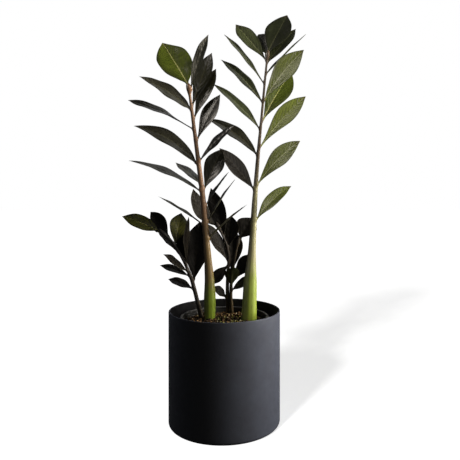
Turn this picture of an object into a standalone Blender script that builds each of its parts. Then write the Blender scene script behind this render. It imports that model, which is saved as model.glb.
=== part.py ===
"""Potted ZZ plant: five feather-shaped fronds in a nursery pot, standing inside a plain round planter.

Units are metres, +Z is up, +X is right, +Y is away from the front. The origin is the centre of the
planter's flat underside. Every stem and every leaflet is a separate closed solid.
"""
import math

import bmesh
import bpy
import numpy as np

for old_object in list(bpy.data.objects):
    bpy.data.objects.remove(old_object, do_unlink=True)

MM = 0.001
GAP = 0.3 * MM                       # clearance between pieces that touch on the real object

# Planter: a plain moulded cylinder with a softened foot and rim.
PLANTER_RADIUS = 75.0 * MM
PLANTER_HEIGHT = 152.0 * MM
PLANTER_WALL = 2.2 * MM
PLANTER_FLOOR = 4.0 * MM
PLANTER_FOOT_ROUND = 5.0 * MM
PLANTER_SEGMENTS = 72

# Nursery pot: thin, tapered, with a rolled lip, standing on the planter's floor.
RIM_CLEARANCE = 12.3 * MM            # planter's inner wall to the edge of the lip
RIM_DROP = 8.4 * MM                  # planter's rim down to the top of the lip
LIP_WIDTH = 4.4 * MM
LIP_DEPTH = 7.0 * MM
POT_WALL = 1.2 * MM
POT_FLOOR = 1.6 * MM
POT_TAPER = 11.0 * MM                # how much narrower the wall is at the floor than at the lip
POT_SEGMENTS = 60
DRAIN_HOLE_RADIUS = 4.0 * MM
DRAIN_HOLES = 6
DRAIN_RING_SHARE = 0.62              # ring of holes, as a share of the floor's radius

# Soil.
SOIL_DROP = 7.6 * MM                 # top of the lip down to the soil at the pot's wall
SOIL_CROWN = 2.0 * MM                # rise of the soil towards the middle
SOIL_SEGMENTS = 48

# Stems and leaflets.
STEM_BURIED = 22.0 * MM              # length of each stem that stands in the soil
STEM_RING_STEP = 17.0 * MM
BLADE_THICKNESS = 1.0 * MM
PETIOLE_RADIUS = 1.1 * MM            # the short stalk that joins a blade to its stem
BLADE_FOLD = 0.20                    # slope of the two halves of a blade, up from the midrib
BLADE_FULLNESS = 0.85                # below 1 a blade keeps its width further towards both ends
TIP_PINCH = 0.5                      # how much the last of a blade narrows to its drawn-out point
NECK_SHARE = 0.8                     # the stalk's first ring comes at most this far towards the next
BLADE_RINGS = (0.10, 0.20, 0.33, 0.47, 0.61, 0.75, 0.87, 0.955)

# Sizes that follow from the ones above.
PLANTER_INSIDE = PLANTER_RADIUS - PLANTER_WALL
LIP_RADIUS = PLANTER_INSIDE - RIM_CLEARANCE
LIP_TOP = PLANTER_HEIGHT - RIM_DROP
POT_TOP_RADIUS = LIP_RADIUS - LIP_WIDTH + POT_WALL
POT_BASE = PLANTER_FLOOR + GAP
POT_BASE_RADIUS = POT_TOP_RADIUS - POT_TAPER
SOIL_TOP = LIP_TOP - SOIL_DROP
SOIL_BASE = POT_BASE + POT_FLOOR + GAP


def wall_radius(height):
    """Outer radius of the nursery pot's straight tapered wall at a height."""
    return POT_BASE_RADIUS + POT_TAPER * (height - POT_BASE) / (LIP_TOP - POT_BASE)


SOIL_RADIUS = wall_radius(SOIL_TOP) - POT_WALL - GAP

# Each frond: where it leaves the soil (share of the soil's radius to the right and to the back),
# its stem's path as (height above the soil, right, back) and girth as (height, radius), in mm,
# and its leaflets, from the lowest up, as
# (height, heading, rise, droop, length, width, facing, twist, widest): height above the soil and
# sizes in mm; heading in degrees, 0 right, 90 back, 180 left; rise above level at the stem and how
# far the blade bends down by its tip; facing is the turn of the upper face from level towards the
# front, and twist is added to it along the blade; widest is where, in % of its length.
FRONDS = {
    "left_tall": {
        "root": (-0.37, 0.13), "sides": 14,
        "path": ((0, 0, 0), (50, 0, -4), (110, -4, -9), (165, -8, -14), (225, -15, -19),
                 (285, -22, -26), (318, -26, -30)),
        "girth": ((0, 7.2), (30, 7.8), (60, 6.1), (85, 5.1), (130, 4.1), (190, 3.3), (250, 2.6),
                  (318, 1.6)),
        "leaflets": (
            (114, -6, 44, 6, 67, 20, 0, 0, 45),
            (133, 180, 34, 4, 69, 20, 2, 0, 50),
            (136, 8, 60, 6, 67, 20, 0, 0, 45),
            (158, 14, 58, 6, 54, 20, 0, 0, 45),
            (178, 190, 34, 22, 101, 27, 18, 0, 50),
            (180, 10, 68, 4, 58, 27, 70, 0, 60),
            (187, 130, 30, 8, 68, 20, 0, 0, 50),
            (214, 185, 52, 42, 98, 28, 42, 0, 50),
            (218, -20, 48, 12, 66, 22, 45, 0, 55),
            (246, 0, 66, 6, 66, 26, 55, 0, 60),
            (260, 170, 31, 14, 99, 26, -12, 50, 60),
            (274, 20, 70, 8, 73, 22, 50, 0, 60),
            (286, 200, 40, 20, 77, 27, 52, -10, 45),
            (290, 35, 72, 8, 79, 22, 50, 0, 60),
            (310, -20, 74, 8, 75, 26, 60, 0, 60),
            (318, 138, 52, 4, 82, 46, 35, 0, 52),
        )},
    "right_tall": {
        "root": (0.60, 0.04), "sides": 14,
        "path": ((0, 0, 0), (55, 2, 2), (110, 5, 4), (165, 8, 6), (220, 12, 9), (275, 17, 12),
                 (330, 22, 14), (371, 26, 16)),
        "girth": ((0, 10.2), (28, 9.9), (55, 8.6), (82, 6.3), (109, 4.9), (150, 3.8), (200, 2.9),
                  (260, 2.0), (310, 1.6), (371, 1.4)),
        "leaflets": (
            (138, 0, 58, 28, 66, 24, 45, 0, 58),
            (180, 180, 53, 6, 72, 25, 55, 0, 55),
            (187, -10, 56, 22, 82, 28, 65, 0, 62),
            (227, 160, 50, 30, 91, 26, 30, 0, 52),
            (238, 0, 56, 16, 93, 28, 65, 0, 65),
            (263, 175, 52, 16, 90, 24, 30, 0, 52),
            (274, 20, 64, 12, 83, 34, 70, 0, 64),
            (300, 170, 55, 18, 84, 25, 30, 0, 54),
            (302, -10, 60, 18, 87, 33, 70, 0, 62),
            (326, 180, 55, 8, 86, 22, 25, 0, 60),
            (340, 20, 46, 2, 84, 18, -3, 0, 40),
            (355, 40, 48, 4, 78, 24, 25, 0, 55),
            (358, 160, 52, 4, 70, 30, 40, 0, 62),
            (366, 110, 50, 6, 50, 24, 40, 0, 60),
            (371, 50, 56, 4, 74, 36, 30, 0, 52),
        )},
    "left_short": {
        "root": (-0.575, 0.26), "sides": 10,
        "path": ((0, 0, 0), (29, -8, 2), (48, -13, 3), (67, -20, 4), (87, -30, 4), (101, -38, 3),
                 (113, -48, 2), (123, -60, 1)),
        "girth": ((0, 3.2), (40, 2.8), (70, 2.2), (100, 1.8), (123, 1.3)),
        "leaflets": (
            (42, 175, 28, 15, 36, 18, 28, 0, 55),
            (52, 60, 82, 4, 82, 36, 30, 0, 58),
            (60, 180, 26, 12, 42, 16, 28, 0, 55),
            (66, 215, 36, 0, 44, 19, 40, 0, 55),
            (76, -70, 80, 5, 66, 19, 50, 0, 60),
            (80, 105, 70, 5, 46, 22, 10, 0, 55),
            (92, 165, 46, 6, 42, 16, 10, 0, 55),
            (103, 50, 76, 4, 43, 27, 65, 0, 58),
            (113, 150, 56, 20, 46, 20, 40, 0, 60),
            (123, 185, 28, 12, 53, 24, 50, 0, 50),
        )},
    "centre_short": {
        "root": (0.055, 0.77), "sides": 10,
        "path": ((0, 0, 0), (42, -1, -3), (64, 0, -4), (85, 1, -5), (102, -3, -6), (118, -10, -7),
                 (132, -17, -8)),
        "girth": ((0, 2.8), (60, 2.3), (100, 1.8), (132, 1.2)),
        "leaflets": (
            (25, 200, 48, 10, 24, 14, 60, 0, 55),
            (69, 200, -42, 10, 34, 17, 60, 0, 55),
            (78, 205, 62, 12, 66, 23, 62, 0, 55),
            (97, 60, 82, 5, 44, 28, 20, 0, 58),
            (112, 145, 73, 5, 72, 25, 60, 0, 52),
            (128, 190, 30, -56, 64, 28, 50, 0, 55),
        )},
    "back_short": {
        "root": (0.15, 0.70), "sides": 10,
        "path": ((0, 0, 0), (42, -1, 0), (67, 2, 0), (89, 6, 1), (109, 10, 2)),
        "girth": ((0, 2.6), (60, 2.0), (109, 1.2)),
        "leaflets": (
            (36, -8, 36, 8, 34, 16, 50, 0, 55),
            (42, -80, 56, 0, 36, 21, 0, 0, 60),
            (51, -10, 54, 8, 47, 25, 56, 0, 58),
            (63, 90, 76, 4, 60, 31, 0, 0, 58),
            (109, 12, 60, 2, 34, 31, 75, 0, 58),
        )},
}


def srgb(hex_code):
    """Linear colour from an sRGB hex code."""
    channels = [int(hex_code[i:i + 2], 16) / 255 for i in (1, 3, 5)]
    return [c / 12.92 if c <= 0.04045 else ((c + 0.055) / 1.055) ** 2.4 for c in channels] + [1.0]


def material(name, hex_code, roughness):
    """Plain non-metal surface of one colour."""
    made = bpy.data.materials.new(name)
    made.use_nodes = True
    shader = made.node_tree.nodes["Principled BSDF"]
    shader.inputs["Base Color"].default_value = srgb(hex_code)
    shader.inputs["Roughness"].default_value = roughness
    shader.inputs["Metallic"].default_value = 0.0
    made.diffuse_color = srgb(hex_code)
    return made


MATTE_CHARCOAL = material("matte_charcoal", "#2b2b2e", 0.75)
NURSERY_PLASTIC = material("nursery_plastic", "#46484a", 0.5)
POTTING_SOIL = material("potting_soil", "#3a2a1e", 0.95)
STEM_BROWN = material("stem_brown", "#7a5a42", 0.5)
STEM_GREEN = material("stem_green", "#7f8c2e", 0.45)
LEAF_DARK = material("leaf_dark", "#1c2016", 0.3)
LEAF_GREEN = material("leaf_green", "#5e6e2a", 0.35)
YOUNG_LEAFLETS = {"left_tall_16", "right_tall_01", "right_tall_03", "right_tall_05",
                  "right_tall_07", "right_tall_09", "left_short_08", "back_short_02"}


def finish(bm, name, surface, smooth_angle=35):
    """Turn a bmesh into a named object with outward faces and smooth shading."""
    bmesh.ops.recalc_face_normals(bm, faces=bm.faces)
    mesh = bpy.data.meshes.new(name)
    bm.to_mesh(mesh)
    bm.free()
    mesh.materials.append(surface)
    mesh.shade_smooth()
    mesh.set_sharp_from_angle(angle=math.radians(smooth_angle))
    made = bpy.data.objects.new(name, mesh)
    bpy.context.scene.collection.objects.link(made)
    return made


def turned(name, profile, segments, surface):
    """Spin a profile of (radius, height) points, from axis to axis, once around Z."""
    bm = bmesh.new()
    verts = [bm.verts.new((radius, 0, height)) for radius, height in profile]
    edges = [bm.edges.new(pair) for pair in zip(verts, verts[1:])]
    bmesh.ops.spin(bm, geom=verts + edges, axis=(0, 0, 1), cent=(0, 0, 0), dvec=(0, 0, 0),
                   angle=2 * math.pi, steps=segments)
    bmesh.ops.remove_doubles(bm, verts=bm.verts, dist=0.00001)
    return finish(bm, name, surface)


def arc(centre, radius, start, end, steps):
    """Points on an arc in the profile plane, angles in degrees from the outward direction."""
    angles = np.radians(np.linspace(start, end, steps + 1))
    return [(centre[0] + radius * math.cos(a), centre[1] + radius * math.sin(a)) for a in angles]


def loft(name, rings, start, end, surface):
    """Closed skin over rings of points, with a pole at each end."""
    bm = bmesh.new()
    loops = [[bm.verts.new(point) for point in ring] for ring in rings]
    poles = bm.verts.new(start), bm.verts.new(end)
    sides = len(loops[0])
    for low, high in zip(loops, loops[1:]):
        for i in range(sides):
            j = (i + 1) % sides
            bm.faces.new((low[i], low[j], high[j], high[i]))
    for i in range(sides):
        j = (i + 1) % sides
        bm.faces.new((poles[0], loops[0][j], loops[0][i]))
        bm.faces.new((poles[1], loops[-1][i], loops[-1][j]))
    return finish(bm, name, surface, 60)


def spline(knots, values, at):
    """Smooth curve through values at knots: cubic pieces with slopes from the neighbours."""
    knots, values, at = np.asarray(knots, float), np.asarray(values, float), np.atleast_1d(at)
    slopes = np.gradient(values, knots, axis=0)
    i = np.clip(np.searchsorted(knots, at) - 1, 0, len(knots) - 2)
    span = knots[i + 1] - knots[i]
    t = (at - knots[i]) / span
    if values.ndim > 1:
        t, span = t[:, None], span[:, None]
    return ((1 + 2 * t) * (1 - t) ** 2 * values[i] + t * (1 - t) ** 2 * span * slopes[i]
            + t * t * (3 - 2 * t) * values[i + 1] - t * t * (1 - t) * span * slopes[i + 1])


def stem_centre(frond, height):
    """Points on a stem's centreline, at heights above the soil; straight down below it."""
    path = np.array(frond["path"], float) * MM
    above = np.maximum(np.atleast_1d(height), 0)
    offset = spline(path[:, 0], path[:, 1:], above)
    root = np.array(frond["root"]) * SOIL_RADIUS
    return np.column_stack((offset + root, SOIL_TOP + np.atleast_1d(height)))


def stem_radius(frond, height):
    """Radius of a stem at heights above the soil."""
    girth = np.array(frond["girth"], float) * MM
    return spline(girth[:, 0], girth[:, 1], np.maximum(np.atleast_1d(height), 0))


def stem_rings(frond, heights, extra=0.0):
    """Round rings across a stem, square to its centreline."""
    centres = stem_centre(frond, heights)
    tangents = stem_centre(frond, heights + MM) - stem_centre(frond, heights - MM)
    tangents /= np.linalg.norm(tangents, axis=1)[:, None]
    across = np.cross(tangents, (0, 1, 0))
    across /= np.linalg.norm(across, axis=1)[:, None]
    depth = np.cross(tangents, across)
    turn = np.linspace(0, 2 * math.pi, frond["sides"], endpoint=False)
    radii = (stem_radius(frond, heights) + extra)[:, None, None]
    return centres[:, None] + radii * (np.cos(turn)[:, None] * across[:, None]
                                       + np.sin(turn)[:, None] * depth[:, None])


def ring_heights(frond):
    """Evenly spaced heights of a stem's rings, from its buried foot to its top."""
    top = frond["path"][-1][0] * MM
    steps = round((top + STEM_BURIED) / STEM_RING_STEP)
    return np.linspace(-STEM_BURIED, top, steps + 1)


def make_stem(key, frond):
    """Tapered stem from its buried foot to its growing tip."""
    heights = ring_heights(frond)
    top = heights[-1]
    rings = stem_rings(frond, heights)
    tip = stem_centre(frond, top)[0] + (stem_centre(frond, top)[0] - stem_centre(frond, top - MM)[0])
    foot = stem_centre(frond, -STEM_BURIED)[0]
    return loft("stem_" + key, rings, foot, tip, STEM_GREEN if key == "right_tall" else STEM_BROWN)


def pocket_cutter(key, frond):
    """The space that a stem takes in the soil, larger by the clearance; used only to cut."""
    heights = ring_heights(frond)
    heights = heights[:np.searchsorted(heights, SOIL_CROWN, "right") + 1]
    heights[0] -= GAP
    rings = stem_rings(frond, heights, GAP)
    made = loft("pocket_" + key, rings, rings[0].mean(axis=0), rings[-1].mean(axis=0), POTTING_SOIL)
    made.hide_render = True
    made.display_type = "WIRE"
    return made


def cut(body, cutter):
    """Subtract one solid from another with a live Boolean."""
    step = body.modifiers.new("cut_" + cutter.name, "BOOLEAN")
    step.operation = "DIFFERENCE"
    step.object = cutter


def make_leaflet(name, frond, row):
    """One blade: a folded lens section carried along a bending midrib."""
    height, heading, rise, droop, length, width, facing, twist, widest = row
    height, length, width = height * MM, length * MM, width * MM
    side = -1 if 90 < heading % 360 < 270 else 1
    heading = math.radians(heading)
    shares = np.array(BLADE_RINGS)
    level = np.array((math.cos(heading), math.sin(heading), 0.0))
    up = np.array((0.0, 0.0, 1.0))

    # The midrib bends evenly, so its direction at a share s has turned down by droop * s.
    fine = np.linspace(0, 1, 201)
    slope = np.radians(rise - droop * fine)
    steps = np.cos(slope)[:, None] * level + np.sin(slope)[:, None] * up
    travel = np.vstack((np.zeros(3), np.cumsum((steps[1:] + steps[:-1]) / 2, axis=0))) / 200 * length

    # The stalk starts just clear of the stem's surface, on the side it heads for.
    centre = stem_centre(frond, height)[0]
    axis = stem_centre(frond, height + MM)[0] - stem_centre(frond, height - MM)[0]
    axis /= np.linalg.norm(axis)
    outward = steps[0] - steps[0].dot(axis) * axis
    spread = max(np.linalg.norm(outward), 0.1)
    outward /= np.linalg.norm(outward)
    start = centre + outward * (stem_radius(frond, height)[0] + GAP)
    neck = PETIOLE_RADIUS * math.sqrt(1 - min(spread, 0.98) ** 2) / spread + 0.6 * MM
    neck = min(neck, NECK_SHARE * shares[0] * length)

    places = np.concatenate(((neck / length,), shares))
    along = np.column_stack([np.interp(places, fine, travel[:, k]) for k in range(3)]) + start
    slope = np.radians(rise - droop * places)
    ahead = np.cos(slope)[:, None] * level + np.sin(slope)[:, None] * up
    face_up = -np.sin(slope)[:, None] * level + np.cos(slope)[:, None] * up
    front = side * np.cross(ahead, face_up)
    turn = np.radians(facing + twist * places)[:, None]
    normal = np.cos(turn) * face_up + np.sin(turn) * front
    across = np.cross(normal, ahead)

    # Half width: zero at both ends, with a drawn-out point, on a stalk that fades into the blade.
    bend = math.log(0.5) / math.log(widest / 100)
    blade = width / 2 * np.sin(math.pi * places ** bend) ** BLADE_FULLNESS
    blade *= 1 - TIP_PINCH * places ** 12
    stalk = PETIOLE_RADIUS * (1 - places) ** 2
    half = np.hypot(blade, stalk)[:, None]
    thick = (BLADE_THICKNESS * (1 - 0.4 * places) + 1.2 * MM * np.exp(-places / 0.08))[:, None]
    lift = blade[:, None] * BLADE_FOLD

    def point(sideways, raised, thickness):
        return along + half * sideways * across + (lift * raised + thick * thickness) * normal

    section = (point(-1, 1, 0), point(-0.55, 0.42, 0.42), point(0, 0, 0.3), point(0.55, 0.42, 0.42),
               point(1, 1, 0), point(0.55, 0.42, -0.42), point(0, 0, -0.75), point(-0.55, 0.42, -0.42))
    rings = np.stack(section, axis=1)
    surface = LEAF_GREEN if name in YOUNG_LEAFLETS else LEAF_DARK
    return loft("leaflet_" + name, rings, start, travel[-1] + start, surface)


def make_planter():
    """Cylinder with one wall and floor, a rounded foot and a softened rim."""
    foot = PLANTER_FOOT_ROUND
    lip = PLANTER_WALL / 2
    profile = [(0, 0)]
    profile += arc((PLANTER_RADIUS - foot, foot), foot, -90, 0, 5)
    profile += arc((PLANTER_RADIUS - lip, PLANTER_HEIGHT - lip), lip, 0, 180, 4)
    inner = foot - PLANTER_WALL
    profile += arc((PLANTER_INSIDE - inner, PLANTER_FLOOR + inner), inner, 0, -90, 3)
    profile += [(0, PLANTER_FLOOR)]
    return turned("planter", profile, PLANTER_SEGMENTS, MATTE_CHARCOAL)


def make_nursery_pot():
    """Tapered thin-walled pot with a rolled lip and drainage holes through its floor."""
    skirt = LIP_TOP - LIP_DEPTH
    roll = LIP_DEPTH * 0.3
    floor_top = POT_BASE + POT_FLOOR
    profile = [(0, POT_BASE)]
    profile += arc((POT_BASE_RADIUS - 2 * MM, POT_BASE + 2 * MM), 2 * MM, -90, 0, 2)
    profile += [(wall_radius(skirt), skirt + POT_WALL)]
    profile += [(LIP_RADIUS - POT_WALL, skirt + POT_WALL), (LIP_RADIUS - POT_WALL, skirt),
                (LIP_RADIUS, skirt)]
    profile += arc((LIP_RADIUS - roll, LIP_TOP - roll), roll, 0, 90, 3)
    inside = POT_TOP_RADIUS - POT_WALL
    profile += [(inside + 0.5 * MM, LIP_TOP), (inside, LIP_TOP - 0.5 * MM)]
    profile += [(wall_radius(floor_top) - POT_WALL, floor_top), (0, floor_top)]
    pot = turned("nursery_pot", profile, POT_SEGMENTS, NURSERY_PLASTIC)
    bm = bmesh.new()
    for i in range(DRAIN_HOLES):
        angle = 2 * math.pi * i / DRAIN_HOLES
        made = bmesh.ops.create_cone(bm, cap_ends=True, segments=16, radius1=DRAIN_HOLE_RADIUS,
                                     radius2=DRAIN_HOLE_RADIUS, depth=POT_FLOOR * 3)
        ring = POT_BASE_RADIUS * DRAIN_RING_SHARE
        place = (ring * math.cos(angle), ring * math.sin(angle), POT_BASE + POT_FLOOR / 2)
        bmesh.ops.translate(bm, verts=made["verts"], vec=place)
    cutter = finish(bm, "drain_hole_cutter", NURSERY_PLASTIC)
    cutter.hide_render = True
    cutter.display_type = "WIRE"
    cut(pot, cutter)
    return pot


def make_soil():
    """Potting soil that fills the pot up to SOIL_DROP below the lip, with a pocket for each stem."""
    profile = [(0, SOIL_BASE), (wall_radius(SOIL_BASE) - POT_WALL - GAP, SOIL_BASE),
               (SOIL_RADIUS, SOIL_TOP)]
    profile += [(SOIL_RADIUS * share, SOIL_TOP + SOIL_CROWN * (1 - share ** 2)) for share in (0.8, 0.5)]
    profile += [(0, SOIL_TOP + SOIL_CROWN)]
    soil = turned("soil", profile, SOIL_SEGMENTS, POTTING_SOIL)
    for key, frond in FRONDS.items():
        cut(soil, pocket_cutter(key, frond))
    return soil


make_planter()
make_nursery_pot()
make_soil()
for frond_key, frond_data in FRONDS.items():
    make_stem(frond_key, frond_data)
    for number, leaflet_row in enumerate(frond_data["leaflets"], start=1):
        make_leaflet(f"{frond_key}_{number:02d}", frond_data, leaflet_row)
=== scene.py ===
"""Looks for a potted ZZ plant: dark leaflets on five stems, in a nursery pot inside a charcoal planter.

Metres, +Z up, +X right, +Y away from the front; the origin is the centre of the planter's underside.
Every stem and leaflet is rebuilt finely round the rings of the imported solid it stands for.
"""
import math

import bmesh
import bpy
import numpy as np
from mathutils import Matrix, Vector


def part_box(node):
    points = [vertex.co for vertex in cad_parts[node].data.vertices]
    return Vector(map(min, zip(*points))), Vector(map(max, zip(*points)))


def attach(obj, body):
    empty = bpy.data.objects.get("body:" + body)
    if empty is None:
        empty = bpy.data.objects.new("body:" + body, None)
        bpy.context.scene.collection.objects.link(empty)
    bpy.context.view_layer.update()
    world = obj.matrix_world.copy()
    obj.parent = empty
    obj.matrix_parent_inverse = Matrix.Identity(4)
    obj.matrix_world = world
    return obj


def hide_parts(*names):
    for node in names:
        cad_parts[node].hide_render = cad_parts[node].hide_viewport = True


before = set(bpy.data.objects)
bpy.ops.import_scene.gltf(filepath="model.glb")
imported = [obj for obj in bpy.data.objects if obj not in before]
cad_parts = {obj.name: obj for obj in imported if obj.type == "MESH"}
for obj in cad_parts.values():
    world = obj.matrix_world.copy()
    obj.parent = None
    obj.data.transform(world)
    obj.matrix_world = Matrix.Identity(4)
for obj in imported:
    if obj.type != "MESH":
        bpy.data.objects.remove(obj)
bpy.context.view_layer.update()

MM = 0.001
BODY = "root"

# Pots and soil, in step with the CAD model.
PLANTER_WALL = 2.2 * MM
PLANTER_FLOOR = 4.0 * MM
PLANTER_FOOT_ROUND = 5.0 * MM
LIP_WIDTH = 4.4 * MM
LIP_DEPTH = 7.0 * MM
POT_WALL = 1.2 * MM
POT_FLOOR = 1.6 * MM
POT_TAPER = 11.0 * MM
SOIL_CROWN = 2.0 * MM

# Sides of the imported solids' rings, needed to read them.
LEAF_SIDES = 8
STEM_SIDES_OF = {"left_tall": 14, "right_tall": 14, "left_short": 10, "centre_short": 10, "back_short": 10}

# How finely each surface is made.
TURNED_SIDES = 224
SOIL_SIDES = 200
SOIL_RINGS = 73
BLADE_STEPS = 110
BLADE_AROUND = 40
STEM_AROUND = 36
STEM_STEP = 1.3 * MM


# ---------------------------------------------------------------- colours and nodes

def srgb(hex_code):
    """Linear colour of an sRGB hex code."""
    channels = [int(hex_code[i:i + 2], 16) / 255 for i in (1, 3, 5)]
    return [c / 12.92 if c <= 0.04045 else ((c + 0.055) / 1.055) ** 2.4 for c in channels] + [1.0]


def node(tree, kind, inputs=None, **settings):
    """Add one shader node with its settings; inputs are socket values, or outputs to link from."""
    made = tree.nodes.new("ShaderNode" + kind)
    for name, value in settings.items():
        setattr(made, name, value)
    for socket, value in (inputs or {}).items():
        if isinstance(value, bpy.types.NodeSocket):
            tree.links.new(value, made.inputs[socket])
        else:
            made.inputs[socket].default_value = value
    return made


def surface(name, roughness, specular=0.5):
    """A new non-metal material; returns it with its tree and its shader."""
    made = bpy.data.materials.new(name)
    made.use_nodes = True
    shader = made.node_tree.nodes["Principled BSDF"]
    shader.inputs["Metallic"].default_value = 0.0
    shader.inputs["Roughness"].default_value = roughness
    shader.inputs["Specular IOR Level"].default_value = specular
    return made, made.node_tree, shader


def mottle(tree, vector, cells_per_metre, low, high, dark, light, detail):
    """Colour that wanders between two tones, where a noise lies between two of its values."""
    cloud = node(tree, "TexNoise", {"Vector": vector, "Scale": cells_per_metre, "Detail": detail})
    share = node(tree, "MapRange", {"Value": cloud.outputs["Fac"], "From Min": low, "From Max": high})
    return node(tree, "Mix", {0: share.outputs[0], 6: srgb(dark), 7: srgb(light)},
                data_type="RGBA").outputs[2]


# ---------------------------------------------------------------- materials of the pots and the soil

def charcoal_plastic():
    """Polypropylene moulded against an eroded steel tool: dark, dull, with a fine even grain.

    The grain is drawn at 0.55 mm, coarser than the real one, so that it shows. The colour clouds are
    22 mm across, and rubbed patches 9 mm across change the gloss. The inside is darkened to near black, a
    painted shade.
    """
    made, tree, shader = surface("charcoal_matt_polypropylene_with_painted_inner_shade", 0.62, specular=0.4)
    place = node(tree, "TexCoord").outputs["Object"]
    colour = mottle(tree, place, 45, 0.3, 0.7, "#272930", "#2c2f37", detail=5.0)
    inside = node(tree, "Attribute", attribute_name="inside").outputs["Fac"]
    # painted shade: where the attribute inside is 1, the planter's inner surface is darkened to #050506
    colour = node(tree, "Mix", {0: inside, 6: colour, 7: srgb("#050506")}, data_type="RGBA").outputs[2]
    grain = node(tree, "TexNoise", {"Vector": place, "Scale": 1 / (0.55 * MM), "Detail": 2.0})
    wear = node(tree, "TexNoise", {"Vector": place, "Scale": 1 / (9 * MM), "Detail": 4.0})
    rough = node(tree, "MapRange", {"Value": wear.outputs["Fac"], "From Min": 0.3, "From Max": 0.7,
                                    "To Min": 0.55, "To Max": 0.7})
    bump = node(tree, "Bump", {"Height": grain.outputs["Fac"], "Strength": 0.35, "Distance": 0.12 * MM})
    tree.links.new(colour, shader.inputs["Base Color"])
    tree.links.new(rough.outputs[0], shader.inputs["Roughness"])
    tree.links.new(bump.outputs[0], shader.inputs["Normal"])
    return made


def nursery_plastic():
    """Recycled polypropylene sheet, thermoformed: grey and a little shiny, with streaks round it. Its inside
    is painted in shade.

    Dusty clouds are 7 mm across. The streaks are 17 mm long and 1.1 mm high.
    """
    made, tree, shader = surface("recycled_nursery_polypropylene", 0.42, specular=0.5)
    place = node(tree, "TexCoord").outputs["Object"]
    colour = mottle(tree, place, 140, 0.35, 0.7, "#343536", "#464541", detail=5.0)
    inside = node(tree, "Attribute", attribute_name="inside").outputs["Fac"]
    # painted shade: the pot's inner surfaces are darkened to #121211
    colour = node(tree, "Mix", {0: inside, 6: colour, 7: srgb("#121211")}, data_type="RGBA").outputs[2]
    streaks = node(tree, "Mapping", {"Vector": place, "Scale": (60, 60, 900)})
    lines = node(tree, "TexNoise", {"Vector": streaks.outputs[0], "Scale": 1.0, "Detail": 2.0})
    bump = node(tree, "Bump", {"Height": lines.outputs["Fac"], "Strength": 0.4, "Distance": 0.15 * MM})
    tree.links.new(colour, shader.inputs["Base Color"])
    tree.links.new(bump.outputs[0], shader.inputs["Normal"])
    return made


def potting_mix():
    """Peat and composted bark: very dark brown in clouds of 4 mm, with paler crumbs of 1.6 mm, fully dull."""
    made, tree, shader = surface("peat_and_bark_potting_mix", 0.95, specular=0.25)
    place = node(tree, "TexCoord").outputs["Object"]
    base = mottle(tree, place, 260, 0.35, 0.65, "#120c06", "#302210", detail=6.0)
    crumbs = node(tree, "TexVoronoi", {"Vector": place, "Scale": 1 / (1.6 * MM)})
    speck = node(tree, "MapRange", {"Value": crumbs.outputs["Color"], "From Min": 0.72, "From Max": 0.9})
    colour = node(tree, "Mix", {0: speck.outputs[0], 6: base, 7: srgb("#55422a")}, data_type="RGBA")
    bump = node(tree, "Bump", {"Height": crumbs.outputs["Distance"], "Strength": 0.9, "Distance": 1.0 * MM})
    tree.links.new(colour.outputs[2], shader.inputs["Base Color"])
    tree.links.new(bump.outputs[0], shader.inputs["Normal"])
    return made


def crumb_material(name, dark, light, roughness):
    """Loose bits in the mix, dull and rough; the attribute tone picks each bit's shade of two colours."""
    made, tree, shader = surface(name, roughness, specular=0.3)
    tone = node(tree, "Attribute", attribute_name="tone").outputs["Fac"]
    place = node(tree, "TexCoord").outputs["Object"]
    grain = node(tree, "TexNoise", {"Vector": place, "Scale": 1 / (0.8 * MM), "Detail": 3.0})
    mixed = node(tree, "Math", {0: tone, 1: grain.outputs["Fac"]}, operation="MULTIPLY")
    share = node(tree, "Math", {0: mixed.outputs[0], 1: 1.7}, operation="MULTIPLY", use_clamp=True)
    colour = node(tree, "Mix", {0: share.outputs[0], 6: srgb(dark), 7: srgb(light)}, data_type="RGBA")
    bump = node(tree, "Bump", {"Height": grain.outputs["Fac"], "Strength": 0.6, "Distance": 0.3 * MM})
    tree.links.new(colour.outputs[2], shader.inputs["Base Color"])
    tree.links.new(bump.outputs[0], shader.inputs["Normal"])
    return made


# ---------------------------------------------------------------- materials of the plant

VEIN_SPACING = 7.6                   # mm along the midrib between side veins
VEIN_FORWARD = 1.15                  # how far a side vein runs forward for each mm it runs out
VEIN_CURVE = 0.07                    # and how much more it turns forward towards the margin
VEIN_CORE, VEIN_EDGE = 0.1, 1.7      # mm from a side vein's middle where its colour starts and stops fading
FIBRES = (1.5, 0.16, 1)              # fibres per mm: 0.7 mm wide and 6 mm long, along the side veins
TIP_FROM = 0.86                      # share of the length where the tip's colour begins
RIB_AT_STALK, RIB_AT_TIP = 1.1, 0.25  # half the rib's width in mm


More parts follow.
